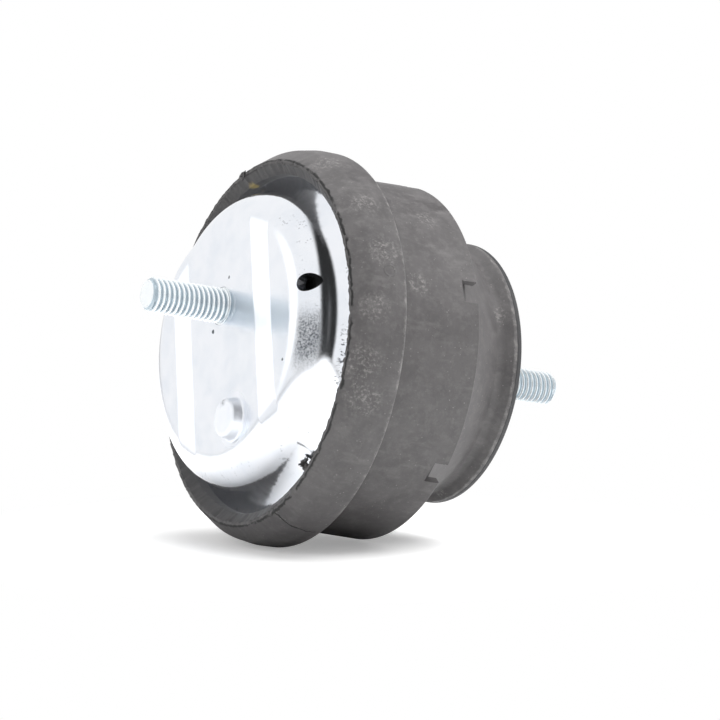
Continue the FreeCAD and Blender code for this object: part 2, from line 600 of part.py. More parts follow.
def rubber_body(doc, sleeve, inner):
    """The one rubber moulding: lip, bead, skin, notched skirt, conical spring and the lining of the sleeve.

    It is turned as a full form and the bonded sleeve and core are taken out of it, so it fits them exactly.
    """
    inside_wall = f"{CRIMP_RADIUS} + Sizes.sleeve_sheet / 2"
    inside_shoulder = f"{STACK_TOP} + Sizes.sleeve_sheet / 2"
    inside_can = f"{CAN_INSIDE} + Sizes.sleeve_sheet / 2"
    inside_core = "(Sizes.core_nose_radius - Sizes.core_nose_bevel + Sizes.core_head_radius) / 2"
    bead_shoulder = (BEAD_SHOULDER, BEAD_FRONT)
    bead_crest = (BEAD_RADIUS, BEAD_CREST)
    bead_back = (BEAD_RADIUS, BEAD_BACK)
    skirt_edge = (BODY_BACK, BODY_TOP)
    neck = (NECK_RADIUS, NECK)
    form = turned(doc, "rubber_form", [
        (LIP_RADIUS, "Sizes.pan_depth"),
        (LIP_RADIUS, LIP_FOOT),
        (LIP_CREST_INNER, LIP_CREST),
        (LIP_CREST_OUTER, LIP_CREST),
        bead_shoulder,
        bead_crest,
        bead_back,
        (BODY_FRONT, BEAD_BACK),
        skirt_edge,
        (SKIRT_INSIDE, BODY_TOP),
        (SKIRT_INSIDE, VALLEY),
        neck,
        ("Sizes.plate_radius", RIM_EDGE),
        ("Sizes.plate_radius", CORE_TOP),
        (inside_core, CORE_TOP),
        (inside_core, CORE_NOSE),
        ("Sizes.core_nose_radius + Sizes.spring_film", CORE_NOSE),
        (LINING_RADIUS, CHAMBER_HEIGHT),
        (LINING_RADIUS, STACK_TOP),
        (inside_can, STACK_TOP),
        (inside_can, inside_shoulder),
        (inside_wall, inside_shoulder),
        (inside_wall, "Sizes.pan_depth"),
    ])
    soften(doc, form, "Fillet", "Sizes.bead_round", bead_shoulder)
    soften(doc, form, "Fillet", "Sizes.bead_round", bead_crest)
    soften(doc, form, "Fillet", "Sizes.edge_round", bead_back)
    soften(doc, form, "Fillet", "Sizes.edge_round", skirt_edge)
    soften(doc, form, "Fillet", "Sizes.neck_round", neck)
    cut_notches(doc, form)
    form.Placement = FreeCAD.Placement(FreeCAD.Vector(), FreeCAD.Rotation(FreeCAD.Vector(0, 0, 1), 0))
    form.setExpression("Placement.Rotation.Angle", "-Sizes.notch_angle * 1 deg")
    bonded = doc.addObject("Part::MultiFuse", "bonded_metal")
    bonded.Shapes = [sleeve, inner]
    doc.recompute()
    moulding = doc.addObject("Part::Cut", "rubber_body")
    moulding.Base = form
    moulding.Tool = bonded
    doc.recompute()
    return moulding


def cut_notches(doc, form):
    """Notches through the skirt's upper edge, evenly round it."""
    sketch = form.newObject("Sketcher::SketchObject", "notch_sketch")
    sketch.AttachmentSupport = [(origin_plane(form, "YZ_Plane"), "")]
    sketch.MapMode = "FlatFace"
    sketch.setExpression("AttachmentOffset.Base.z", SKIRT_INSIDE)
    half = worth(sketch, "Sizes.notch_width / 2")
    low = worth(sketch, NOTCH_BOTTOM)
    high = worth(sketch, f"{BODY_TOP} + Sizes.skirt_wall")
    points = [FreeCAD.Vector(*pair, 0) for pair in ((-half, low), (half, low), (half, high), (-half, high))]
    for start, end in zip(points, points[1:] + points[:1]):
        sketch.addGeometry(Part.LineSegment(start, end), False)
    for index in range(4):
        sketch.addConstraint(Sketcher.Constraint("Coincident", index, 2, (index + 1) % 4, 1))
    for index, direction in ((1, "Vertical"), (2, "Horizontal"), (3, "Vertical")):
        sketch.addConstraint(Sketcher.Constraint(direction, index))
    sketch.addConstraint(Sketcher.Constraint("Symmetric", 0, 1, 0, 2, -2))
    bound = (
        (Sketcher.Constraint("DistanceX", 0, 1, 0, 2, 2 * half), "Sizes.notch_width"),
        (Sketcher.Constraint("DistanceY", -1, 1, 0, 1, low), NOTCH_BOTTOM),
        (Sketcher.Constraint("DistanceY", -1, 1, 2, 1, high), f"{BODY_TOP} + Sizes.skirt_wall"),
    )
    for constraint, expression in bound:
        place = sketch.addConstraint(constraint)
        sketch.setExpression(f"Constraints[{place}]", expression)
    notch = form.newObject("PartDesign::Pocket", "notch")
    notch.Profile = sketch
    notch.Type = "Length"
    notch.Reversed = True
    notch.setExpression("Length", "2 * Sizes.skirt_wall")
    doc.recompute()
    repeat(doc, form, notch, "notches", "Sizes.notch_count")


def check_model(doc, parts):
    """Stops if any object has failed, or if a sub-part isn't one valid solid."""
    for obj in doc.Objects:
        if "Invalid" in obj.State or "Error" in obj.State:
            raise RuntimeError(f"{obj.Name} failed: {obj.State}")
    for part in parts:
        shape = part.Shape
        if shape.isNull() or not shape.isValid() or len(shape.Solids) != 1:
            raise RuntimeError(f"{part.Label} is not one valid solid")


def main():
    """Builds every sub-part, checks them and writes one file for each."""
    doc = FreeCAD.newDocument("EngineMount")
    write_sheet(doc)
    sleeve = outer_sleeve(doc)
    inner = core(doc)
    made = {
        "base_pan": base_pan(doc),
        "base_stud": base_stud(doc),
        "diaphragm": diaphragm(doc),
        "channel_cover": channel_cover(doc),
        "decoupler": decoupler(doc),
        "channel_body": channel_body(doc),
        "outer_sleeve": sleeve,
        "rubber_body": rubber_body(doc, sleeve, inner),
        "core": inner,
        "core_plate": core_plate(doc),
        "core_stud": core_stud(doc),
    }
    doc.recompute()
    parts = [made[name] for name in NODES]
    for name, part in zip(NODES, parts):
        part.Label = name
    check_model(doc, parts)
    os.makedirs("parts", exist_ok=True)
    for part in parts:
        part.Shape.exportStep(os.path.join("parts", f"{part.Label}.step"))
        box = part.Shape.BoundBox
        print(f"{part.Label}: {part.Shape.Volume:.0f} mm3, Z {box.ZMin:.2f} to {box.ZMax:.2f}")


main()
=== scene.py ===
"""Round hydraulic engine mount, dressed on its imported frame.

The pressed pan, the two studs, the rubber moulding and the end plate are modelled here in
millimetres and brought to metres as they are finished. The parts closed up inside keep their
solids and get a finish only.
"""
import logging
import math
from collections.abc import Callable, Iterable, Sequence
from dataclasses import dataclass, field
from enum import Enum

import bmesh
import bpy
from mathutils import Matrix, Vector, noise


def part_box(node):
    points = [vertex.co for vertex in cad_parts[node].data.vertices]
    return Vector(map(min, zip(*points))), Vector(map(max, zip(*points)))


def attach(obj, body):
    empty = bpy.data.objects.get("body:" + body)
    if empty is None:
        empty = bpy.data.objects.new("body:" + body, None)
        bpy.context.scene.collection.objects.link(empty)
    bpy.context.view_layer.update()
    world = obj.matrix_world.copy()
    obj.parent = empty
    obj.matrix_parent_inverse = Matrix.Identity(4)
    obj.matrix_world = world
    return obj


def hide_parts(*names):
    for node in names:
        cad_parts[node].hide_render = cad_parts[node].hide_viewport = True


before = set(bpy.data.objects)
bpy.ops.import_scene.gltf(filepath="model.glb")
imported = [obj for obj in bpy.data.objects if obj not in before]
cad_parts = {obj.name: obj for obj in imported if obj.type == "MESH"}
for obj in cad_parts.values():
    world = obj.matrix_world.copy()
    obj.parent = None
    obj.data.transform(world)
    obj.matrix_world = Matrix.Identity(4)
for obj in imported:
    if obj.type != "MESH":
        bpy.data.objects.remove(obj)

LOG = logging.getLogger("engine_mount")
MM = 0.001
MERGE = 0.0005  # Vertices nearer than this, in millimetres, are one.
LEVEL = 1e-4  # Heights nearer than this, in millimetres, are one.
WHITE = (1.0, 1.0, 1.0, 1.0)
Colour = tuple[float, float, float]
Point = tuple[float, float, float]
BMesh = bmesh.types.BMesh
Material = bpy.types.Material
Object = bpy.types.Object
Socket = bpy.types.NodeSocket


class Slot(Enum):
    """Names of the record's material slots; no piece in this script is given one."""

    PAN = "zinc_pan"
    STUD = "zinc_stud"
    PLATE = "black_plate"
    RUBBER = "body_rubber"


class End(Enum):
    """Which way a stud points along the mount's axis."""

    BASE = -1
    ENGINE = 1


# Shaders


class Value:
    """A number that changes over a surface; Python's operators add the Math nodes."""

    def __init__(self, nodes: "Nodes", socket: Socket) -> None:
        """Wrap the output socket that carries the number."""
        self.nodes = nodes
        self.socket = socket

    def math(self, operation: str, *others: "Value | float") -> "Value":
        """Add one Math node.

        Args:
            operation: The Math node's operation.
            others: The further inputs.

        Returns:
            The node's result.
        """
        values = {index: value for index, value in enumerate((self, *others))}
        node = self.nodes.node("Math", {"operation": operation}, values)
        return Value(self.nodes, node.outputs[0])

    def __add__(self, other: "Value | float") -> "Value":
        """Add."""
        return self.math("ADD", other)

    def __radd__(self, other: float) -> "Value":
        """Add, number first."""
        return self.math("ADD", other)

    def __sub__(self, other: "Value | float") -> "Value":
        """Subtract."""
        return self.math("SUBTRACT", other)

    def __rsub__(self, other: float) -> "Value":
        """Subtract from a number."""
        return self.math("MULTIPLY_ADD", -1.0, other)

    def __mul__(self, other: "Value | float") -> "Value":
        """Multiply."""
        return self.math("MULTIPLY", other)

    def __rmul__(self, other: float) -> "Value":
        """Multiply, number first."""
        return self.math("MULTIPLY", other)

    def __abs__(self) -> "Value":
        """Size without its sign."""
        return self.math("ABSOLUTE")

    def either(self, other: "Value | float") -> "Value":
        """Larger of two."""
        return self.math("MAXIMUM", other)

    def step(self, low: float, high: float) -> "Value":
        """Smooth rise from 0 at low to 1 at high, or a fall where low is the larger.

        Args:
            low: The value that gives 0.
            high: The value that gives 1.

        Returns:
            The mask.
        """
        ends = {1: low, 2: high} if low < high else {1: high, 2: low, 3: 1.0, 4: 0.0}
        node = self.nodes.node(
            "MapRange", {"interpolation_type": "SMOOTHSTEP"}, {0: self, **ends})
        return Value(self.nodes, node.outputs[0])


Link = Value | Socket | float | tuple


class Nodes:
    """The nodes of one tree."""

    def __init__(self, tree: bpy.types.NodeTree) -> None:
        """Empty the tree of a material or of the world."""
        self.tree = tree
        self.tree.nodes.clear()

    def node(self, kind: str, settings: dict[str, object] | None = None,
             inputs: dict[str | int, Link] | None = None) -> bpy.types.Node:
        """Add one node, its settings first and then its sockets.

        Args:
            kind: The node's type, without the ShaderNode that each begins with.
            settings: Properties to set, such as a Math node's operation.
            inputs: Values or links for its sockets, by name or number.

        Returns:
            The node.
        """
        made = self.tree.nodes.new("ShaderNode" + kind)
        for key, value in (settings or {}).items():
            setattr(made, key, value)
        for key, value in (inputs or {}).items():
            if isinstance(value, Value):
                self.tree.links.new(value.socket, made.inputs[key])
            elif isinstance(value, Socket):
                self.tree.links.new(value, made.inputs[key])
            else:
                made.inputs[key].default_value = value
        return made

    def vector(self, operation: str, first: Link, second: Link = (0.0, 0.0, 0.0),
               scale: float = 1.0) -> Socket:
        """Add one Vector Math node that gives a vector."""
        node = self.node("VectorMath", {"operation": operation}, {0: first, 1: second, 3: scale})
        return node.outputs["Vector"]

    def measure(self, operation: str, first: Link, second: Link) -> Value:
        """Add one Vector Math node that gives a number, such as a distance."""
        node = self.node("VectorMath", {"operation": operation}, {0: first, 1: second})
        return Value(self, node.outputs["Value"])

    def ray(self, kind: str) -> Value:
        """1 for a ray of one kind, by the Light Path node's output."""
        return Value(self, self.node("LightPath").outputs[kind])


class Shader(Nodes):
    """A new material's nodes, with the mount's own coordinates in millimetres."""

    def __init__(self, name: str) -> None:
        """Start an empty material.

        Args:
            name: The material's name.
        """
        self.material = bpy.data.materials.new(name)
        self.material.use_nodes = True
        super().__init__(self.material.node_tree)
        place = self.node("TexCoord").outputs["Object"]
        self.place = self.vector("SCALE", place, scale=1.0 / MM)
        split = self.node("SeparateXYZ", {}, {0: self.place})
        self.x, self.y, self.z = (Value(self, split.outputs[index]) for index in range(3))
        self.radius = (self.x * self.x + self.y * self.y).math("SQRT")

    def mix(self, factor: Value | float, first: Link, second: Link) -> Socket:
        """Blend two colours.

        Args:
            factor: How much of the second.
            first: The colour at 0.
            second: The colour at 1.

        Returns:
            The blended colour.
        """
        colours = [(*c, 1.0) if isinstance(c, tuple) else c for c in (first, second)]
        node = self.node("Mix", {"data_type": "RGBA"}, {0: factor, 6: colours[0], 7: colours[1]})
        return node.outputs[2]

    def noise(self, size: float, detail: float = 3.0, rough: float = 0.5, place: Link | None = None,
              distortion: float = 0.0) -> Value:
        """Cloudy noise.

        Args:
            size: The size of its forms in millimetres.
            detail: Its octaves.
            rough: The weight of the small octaves.
            place: Where it is read, if not at the mount's own coordinates.
            distortion: How far it is twisted.

        Returns:
            The noise, about 0.5.
        """
        node = self.node("TexNoise", {}, {
            "Vector": place or self.place, "Scale": 1.0 / size, "Detail": detail,
            "Roughness": rough, "Distortion": distortion})
        return Value(self, node.outputs[0])

    def cells(self, size: float) -> Value:
        """Distance to scattered points, in spacings of this many millimetres."""
        node = self.node("TexVoronoi", {}, {"Vector": self.place, "Scale": 1.0 / size})
        return Value(self, node.outputs["Distance"])

    def stretched(self, x: float, y: float, z: float) -> Socket:
        """The mount's coordinates, each times a factor of its own."""
        return self.vector("MULTIPLY", self.place, (x, y, z))

    def spot(self, centre: Point, reach: float, edge: float, wobble: float = 0.0) -> Value:
        """A round mark.

        Args:
            centre: Its centre in millimetres.
            reach: Its radius.
            edge: The width of its soft edge.
            wobble: How far noise moves its edge.

        Returns:
            The mask, 1 in the middle.
        """
        distance = self.measure("DISTANCE", self.place, centre)
        if wobble:
            distance = distance + (self.noise(wobble * 1.5, 4.0) - 0.5) * (2.0 * wobble)
        return distance.step(reach + edge / 2, reach - edge / 2)

    def bump(self, height: Value, strength: float, depth: float) -> Socket:
        """Turn a height of 0 to 1 into a normal; a height of 1 is so many millimetres deep."""
        sockets = {"Strength": strength, "Distance": depth * MM, "Height": height}
        return self.node("Bump", {}, sockets).outputs["Normal"]

    def close(self, **inputs: Link) -> Material:
        """Add the surface shader and the output.

        Args:
            inputs: The surface's sockets, with _ for a space.

        Returns:
            The material.
        """
        named = {key.replace("_", " "): value for key, value in inputs.items()}
        surface = self.node("BsdfPrincipled", {}, named)
        self.node("OutputMaterial", {}, {"Surface": surface.outputs[0]})
        return self.material


@dataclass(frozen=True)
class ZincSheet:
    """Bright zinc plating on pressed sheet: satin, slightly blue, mottled where it was drawn."""

    colour: Colour = (0.88, 0.90, 0.94)
    shade: Colour = (0.80, 0.835, 0.89)
    pitted: Colour = (0.09, 0.10, 0.115)
    speck: Colour = (0.10, 0.12, 0.14)
    roughness: float = 0.12
    face_edge: float = 28.5
    boss: Point = (20.2, -3.0, -2.0)
    haze: Point = (9.5, -29.3, 3.2)
    ticks: Point = (14.0, -33.5, 11.0)
    worn: Point = (16.6, -3.2, -1.5)
    specks: tuple[tuple[Point, float], ...] = (
        ((-13.0, -4.0, 0.0), 0.35), ((-2.7, 4.1, 0.0), 0.5),
        ((-24.6, 17.2, -0.4), 0.4), ((12.6, -22.9, 1.3), 0.3))

    def material(self) -> Material:
        """Build the finish.

        Returns:
            The material.
        """
        s = Shader("zinc_sheet")
        cloud = s.noise(9.0, 4.0, 0.6)
        grain = s.noise(0.9, 3.0, 0.6)
        drawn = s.radius.step(29.0, 31.5)
        speckle = s.cells(0.75).step(0.42, 0.22) * s.noise(3.5, 3.0).step(0.55, 0.67)
        speckle = speckle * drawn * 0.35
        boss = s.spot(self.boss, 6.0, 2.5)
        galled = self.galled(s)
        colour = s.mix(cloud.step(0.35, 0.75), self.colour, self.shade)
        colour = s.mix(speckle, colour, self.pitted)
        colour = s.mix(galled, colour, self.pitted)
        for centre, reach in self.specks:
            colour = s.mix(s.spot(centre, reach, 0.2, 0.35), colour, self.speck)
        rough = self.roughness + (cloud - 0.5) * 0.12 + speckle * 0.3 + galled * 0.35
        rough = rough + boss * 0.22 + s.radius.step(self.face_edge, 25.0) * 0.12
        height = grain * 0.4 + s.noise(2.6, 2.0) * 0.6 + speckle * 0.2 - galled * 0.4
        return s.close(Base_Color=colour, Metallic=1.0, Roughness=rough,
                       Normal=s.bump(height, 0.3, 0.05))

    def galled(self, s: Shader) -> Value:
        """The wall beside the breather hole, roughened by the die, and short ticks below it.

        Args:
            s: The material's nodes.

        Returns:
            The mask.
        """
        grit = s.noise(0.45, 4.0, 0.8).step(0.40, 0.62)
        haze = s.spot(self.haze, 5.5, 6.5, 1.5) * s.radius.step(self.face_edge, 30.5)
        haze = haze * s.radius.step(34.0, 33.0)
        ticks = s.noise(0.8, 3.0, 0.6, place=s.stretched(1.6, 1.0, 0.5)).step(0.54, 0.60)
        ticks = ticks * s.spot(self.ticks, 6.5, 3.0, 1.5) * s.radius.step(34.9, 35.5)
        worn = s.spot(self.worn, 1.2, 1.6, 1.0) * 0.7
        return (haze * (0.45 + grit * 0.55)).either(ticks * 0.85).either(worn * grit)


@dataclass(frozen=True)
class ZincThread:
    """Zinc on a rolled thread: blue-white, with painted shade darkening its roots, and worn crests.
    """

    colour: Colour = (0.92, 0.96, 0.98)
    worn: Colour = (0.95, 0.97, 0.98)
    # Colour of the painted shade in the thread roots.
    root: Colour = (0.26, 0.35, 0.41)
    crest_radius: float = 4.0
    root_radius: float = 3.35
    axis_x: float = 0.0

    def material(self) -> Material:
        """Build the finish.

        Returns:
            The material.
        """
        s = Shader("zinc_thread")
        off = s.x - self.axis_x
        radius = (off * off + s.y * s.y).math("SQRT")
        depth = radius.step(self.crest_radius - 0.05, self.root_radius)
        depth = depth * radius.step(self.root_radius - 0.35, self.root_radius - 0.1)
        cloud = s.noise(1.6, 4.0, 0.6)
        colour = s.mix(cloud.step(0.4, 0.7) * 0.6, self.colour, self.worn)
        # Painted shade: the deeper the surface lies below the crests, the darker it is painted.
        colour = s.mix(depth * 0.8, colour, self.root)
        rough = 0.16 + cloud * 0.14 + depth * 0.12
        height = s.noise(0.35, 2.0, place=s.stretched(1.0, 1.0, 3.0)) * 0.6 + cloud * 0.4
        return s.close(Base_Color=colour, Metallic=0.5, Roughness=rough,
                       Normal=s.bump(height, 0.25, 0.03))


@dataclass(frozen=True)
class Scuff:
    """A pale rub mark: its middle, its reach and how far its edge wanders, in millimetres."""

    centre: Point
    reach: float
    wander: float

    def mask(self, s: Shader) -> Value:
        """The mark with its broken edge."""
        broken = s.noise(0.7, 5.0, 0.7).step(0.46, 0.70)
        return s.spot(self.centre, self.reach, self.reach, self.wander) * broken


@dataclass(frozen=True)
class MouldedRubber:
    """Natural rubber from the mould: dark grey, matt, with dusty smears and a fine grain; the lip's
    inner side carries painted shade, and the bead's rear edge and the flange's rim a painted
    highlight.
    """

    colour: Colour = (0.068, 0.0645, 0.0655)
    worn: Colour = (0.093, 0.0885, 0.0895)
    dust: Colour = (0.185, 0.177, 0.176)
    dot: Colour = (0.30, 0.288, 0.28)
    rubbed: Colour = (0.32, 0.307, 0.298)
    # Colour of the painted shade on the lip's inner side.
    painted_lip_shade: Colour = (0.02, 0.02, 0.021)
    oil: Colour = (0.33, 0.25, 0.07)
    # Colour of the painted highlight on the bead's rear edge and the end flange's rim.
    rim: Colour = (0.22, 0.212, 0.207)
    gap: Colour = (0.006, 0.006, 0.006)
    roughness: float = 0.52
    pin_mark: Point = (-2.7, -44.9, 16.2)
    stain: Point = (-38.4, 0.5, 10.3)
    split_radius: float = 41.45
    seam_y: float = -5.0
    scuffs: tuple[Scuff, ...] = (
        Scuff((-7.5, -44.5, 15.5), 3.4, 1.0), Scuff((-20.0, -40.0, 14.0), 3.0, 1.0),
        Scuff((6.0, -43.5, 12.5), 3.2, 1.0), Scuff((17.0, -39.0, 11.5), 4.0, 1.2),
        Scuff((24.0, -36.5, 13.0), 3.6, 1.2), Scuff((-21.2, -34.6, 33.3), 2.2, 1.0),
        Scuff((-2.8, -40.2, 26.5), 2.4, 0.9), Scuff((-4.0, -28.5, 55.4), 1.8, 0.8),
        Scuff((29.5, 1.0, 57.0), 1.6, 0.6), Scuff((-33.0, -28.0, 12.5), 3.6, 1.2))

    def material(self) -> Material:
        """Build the finish.

        Returns:
            The material.
        """
        s = Shader("moulded_rubber")
        cloud = s.noise(6.0, 6.0, 0.65, distortion=0.4)
        blotch = s.noise(1.7, 5.0, 0.7)
        fine = s.noise(0.5, 3.0, 0.6)
        flecks = s.noise(0.8, 4.0, 0.7).step(0.60, 0.68) * s.noise(4.0, 3.0).step(0.46, 0.62)
        smear = s.noise(3.2, 5.0, 0.65, place=s.stretched(1.0, 1.0, 0.35))
        smear = smear.step(0.52, 0.72)
        colour = s.mix(cloud.step(0.32, 0.68), self.colour, self.worn)
        colour = s.mix(blotch.step(0.45, 0.75) * 0.25, colour, self.dust)
        colour = s.mix(smear * 0.3 + flecks * 0.4, colour, self.dust)
        dots = s.cells(1.2).step(0.15, 0.06) * s.noise(5.0, 3.0).step(0.44, 0.60)
        colour = s.mix(dots * 0.55, colour, self.dot)
        scuffs = self.scuffs[0].mask(s)
        for scuff in self.scuffs[1:]:
            scuffs = scuffs.either(scuff.mask(s))
        colour = s.mix(scuffs * (0.15 + blotch * 0.7), colour, self.rubbed)
        # Painted shade: the lip's inner side, up to its crest, darkened nearly to black.
        painted_lip_shade = s.radius.step(41.3, 40.3) * s.z.step(14.0, 12.0)
        colour = s.mix(painted_lip_shade * 0.55, colour, self.painted_lip_shade)
        colour = s.mix(s.spot(self.stain, 1.1, 1.2, 0.8) * 0.8, colour, self.oil)
        # Painted highlight: a lighter line along the bead's rear edge and the end flange's rim,
        # broken up by the blotch noise.
        edge = s.radius.step(44.4, 44.8) * s.z.step(19.2, 19.9)
        edge = edge.either(s.radius.step(29.9, 30.15) * s.z.step(57.9, 58.2) * 0.8)
        colour = s.mix(edge * blotch.step(0.40, 0.75), colour, self.rim)
        pin = s.spot(self.pin_mark, 1.5, 0.2) - s.spot(self.pin_mark, 1.1, 0.2)
        crack = self.crack(s)
        colour = s.mix(crack, colour, self.gap)
        rough = self.roughness + (cloud - 0.5) * 0.25 + smear * 0.06
        height = fine * 0.35 + s.noise(1.8, 4.0, 0.6) * 0.7 + cloud * 0.8
        height = height - crack + pin * 1.5
        return s.close(Base_Color=colour, Roughness=rough, Specular_IOR_Level=0.5,
                       Normal=s.bump(height, 0.45, 0.10))

    def crack(self, s: Shader) -> Value:
        """The split along the foot of the lip's flash and the mould seam at its lower end.

        Args:
            s: The material's nodes.

        Returns:
            The mask.
        """
        wander = (s.noise(2.2, 4.0, 0.6) - 0.5) * 0.9
        split = abs(s.radius - self.split_radius + wander).step(0.34, 0.12)
        split = split * s.z.step(10.5, 9.5) * s.noise(3.0, 3.0).step(0.36, 0.46)
        seam = abs(s.y - self.seam_y + wander * 2.0).step(0.30, 0.10)
        return split.either(seam * s.x.step(38.0, 39.0) * s.z.step(19.0, 18.0))


@dataclass(frozen=True)
class BlackCoat:
    """Thin black coating on steel, matt, rubbed through in places."""

    colour: Colour = (0.045, 0.045, 0.047)
    bare: Colour = (0.35, 0.35, 0.36)

    def material(self) -> Material:
        """Build the finish.

        Returns:
            The material.
        """
        s = Shader("black_coat")
        cloud = s.noise(6.0, 4.0, 0.6)
        rub = s.noise(0.9, 5.0, 0.7, place=s.stretched(0.25, 1.0, 1.0)).step(0.66, 0.74)
        colour = s.mix(rub * 0.5, self.colour, self.bare)
        return s.close(Base_Color=colour, Metallic=rub * 0.8, Roughness=0.5 + (cloud - 0.5) * 0.2,
                       Normal=s.bump(s.noise(0.7, 3.0) * 0.5 + cloud * 0.5, 0.25, 0.04))


@dataclass(frozen=True)
class Casting:
    """Aluminium as cast: pale grey, dull, faintly pitted."""

    colour: Colour = (0.60, 0.61, 0.62)

    def material(self) -> Material:
        """Build the finish.

        Returns:
            The material.
        """
        s = Shader("casting")
        cloud = s.noise(4.0, 4.0, 0.6)
        pits = s.cells(1.1).step(0.2, 0.08)
        colour = s.mix(cloud.step(0.3, 0.7) * 0.5, self.colour, (0.42, 0.43, 0.44))
        colour = s.mix(pits * 0.6, colour, (0.2, 0.2, 0.21))
        return s.close(Base_Color=colour, Metallic=0.9, Roughness=0.52 + (cloud - 0.5) * 0.2,
                       Normal=s.bump(cloud * 0.6 + s.noise(0.6, 2.0) * 0.3 - pits * 0.4, 0.4, 0.05))


@dataclass(frozen=True)
class PhosphatedSteel:
    """Drawn steel with a grey phosphate coat under the rubber."""

    colour: Colour = (0.30, 0.31, 0.31)

    def material(self) -> Material:
        """Build the finish.

        Returns:
            The material.
        """
        s = Shader("phosphated_steel")
        crystals = s.cells(0.35)
        cloud = s.noise(5.0, 4.0)
        colour = s.mix(crystals.step(0.2, 0.7) * 0.5, self.colour, (0.2, 0.2, 0.2))
        return s.close(Base_Color=colour, Metallic=0.7, Roughness=0.55 + (cloud - 0.5) * 0.2,
                       Normal=s.bump(crystals, 0.3, 0.02))


@dataclass(frozen=True)
class Membrane:
    """Smooth matt rubber of the diaphragm and the decoupler."""

    colour: Colour = (0.05, 0.05, 0.052)

    def material(self) -> Material:
        """Build the finish.

        Returns:
            The material.
        """
        s = Shader("membrane")
        cloud = s.noise(5.0, 3.0)
        colour = s.mix(cloud.step(0.35, 0.7) * 0.5, self.colour, (0.08, 0.078, 0.076))
        return s.close(Base_Color=colour, Roughness=0.5 + (cloud - 0.5) * 0.2,
                       Normal=s.bump(s.noise(0.5, 2.0), 0.2, 0.03))


# Shapes


@dataclass(frozen=True)
class Corner:
    """One corner of an outline: its distance from the axis, height and rounding, in millimetres."""

    radius: float
    height: float
    rounding: float = 0.0


@dataclass(frozen=True)
class Outline:
    """A line of corners to turn about an axis, with its roundings laid out as short chords."""

    corners: tuple[Corner, ...]
    closed: bool = False
    chord: float = 0.35
    run: float = 2.0
    bend: float = 12.0

    def points(self) -> list[Vector]:
        """Lay out the line.

        Returns:
            Its points in the XZ plane.
        """
        places = [Vector((corner.radius, 0.0, corner.height)) for corner in self.corners]
        count = len(places)
        line: list[Vector] = []
        for index, corner in enumerate(self.corners):
            here = places[index]
            inner = self.closed or 0 < index < count - 1
            if not (inner and corner.rounding):
                line.append(here)
                continue
            back = (places[index - 1] - here).normalized()
            ahead = (places[(index + 1) % count] - here).normalized()
            half = back.angle(ahead) / 2
            centre = here + (back + ahead).normalized() * (corner.rounding / math.sin(half))
            first = here + back * (corner.rounding / math.tan(half)) - centre
            last = here + ahead * (corner.rounding / math.tan(half)) - centre
            turn = math.pi - 2 * half
            steps = max(3, round(turn * corner.rounding / self.chord),
                        round(math.degrees(turn) / self.bend))
            axis = first.cross(last).normalized()
            line += [centre + Matrix.Rotation(turn * step / steps, 3, axis) @ first
                     for step in range(steps + 1)]
        return self._divided(line)

    def _divided(self, line: list[Vector]) -> list[Vector]:
        """Divide the long runs of a line.

        Args:
            line: Its points.

        Returns:
            The points with further ones on the runs.
        """
        ends = line[1:] + line[:1] if self.closed else line[1:]
        result: list[Vector] = []
        for start, end in zip(line, ends):
            steps = max(1, math.ceil((end - start).length / self.run))
            result += [start.lerp(end, step / steps) for step in range(steps)]
        return result if self.closed else result + [line[-1]]


def merge(shape: BMesh, distance: float = MERGE) -> None:
    """Merge the vertices that lie within a distance in millimetres."""
    bmesh.ops.remove_doubles(shape, verts=shape.verts, dist=distance)


def placed(name: str, data: bpy.types.ID) -> Object:
    """Put data into the scene as a new object.

    Args:
        name: The object's name.
        data: Its mesh, light or camera.

    Returns:
        The object.
    """
    made = bpy.data.objects.new(name, data)
    bpy.context.scene.collection.objects.link(made)
    return made


def sliced(shape: BMesh, place: Point, normal: Point, clear: bool = False) -> None:
    """Cut a mesh along a plane and clear what lies behind it, if so asked."""
    bmesh.ops.bisect_plane(shape, geom=[*shape.verts, *shape.edges, *shape.faces], dist=0.001,
                           plane_co=place, plane_no=normal, clear_inner=clear)


def turned(outline: Outline, segments: int, centre: tuple[float, float] = (0.0, 0.0)) -> BMesh:
    """Turn an outline about an axis along Z.

    Args:
        outline: The line to turn.
        segments: The number of steps round.
        centre: Where the axis is, in X and Y.

    Returns:
        The mesh, with doubles merged.
    """
    shape = bmesh.new()
    verts = [shape.verts.new(point) for point in outline.points()]
    pairs = list(zip(verts, verts[1:]))
    if outline.closed:
        pairs.append((verts[-1], verts[0]))
    edges = [shape.edges.new(pair) for pair in pairs]
    bmesh.ops.spin(shape, geom=verts + edges, axis=(0, 0, 1), cent=(0, 0, 0), angle=math.tau,
                   steps=segments, use_merge=True)
    merge(shape)
    bmesh.ops.translate(shape, verts=shape.verts, vec=(*centre, 0.0))
    return shape


def join(shapes: Iterable[BMesh]) -> BMesh:
    """Put several meshes into one and free them.

    Args:
        shapes: The meshes.

    Returns:
        The one mesh, not yet merged.
    """
    whole = bmesh.new()
    for shape in shapes:
        loose = bpy.data.meshes.new("loose")
        shape.to_mesh(loose)
        shape.free()
        whole.from_mesh(loose)
        bpy.data.meshes.remove(loose)
    return whole


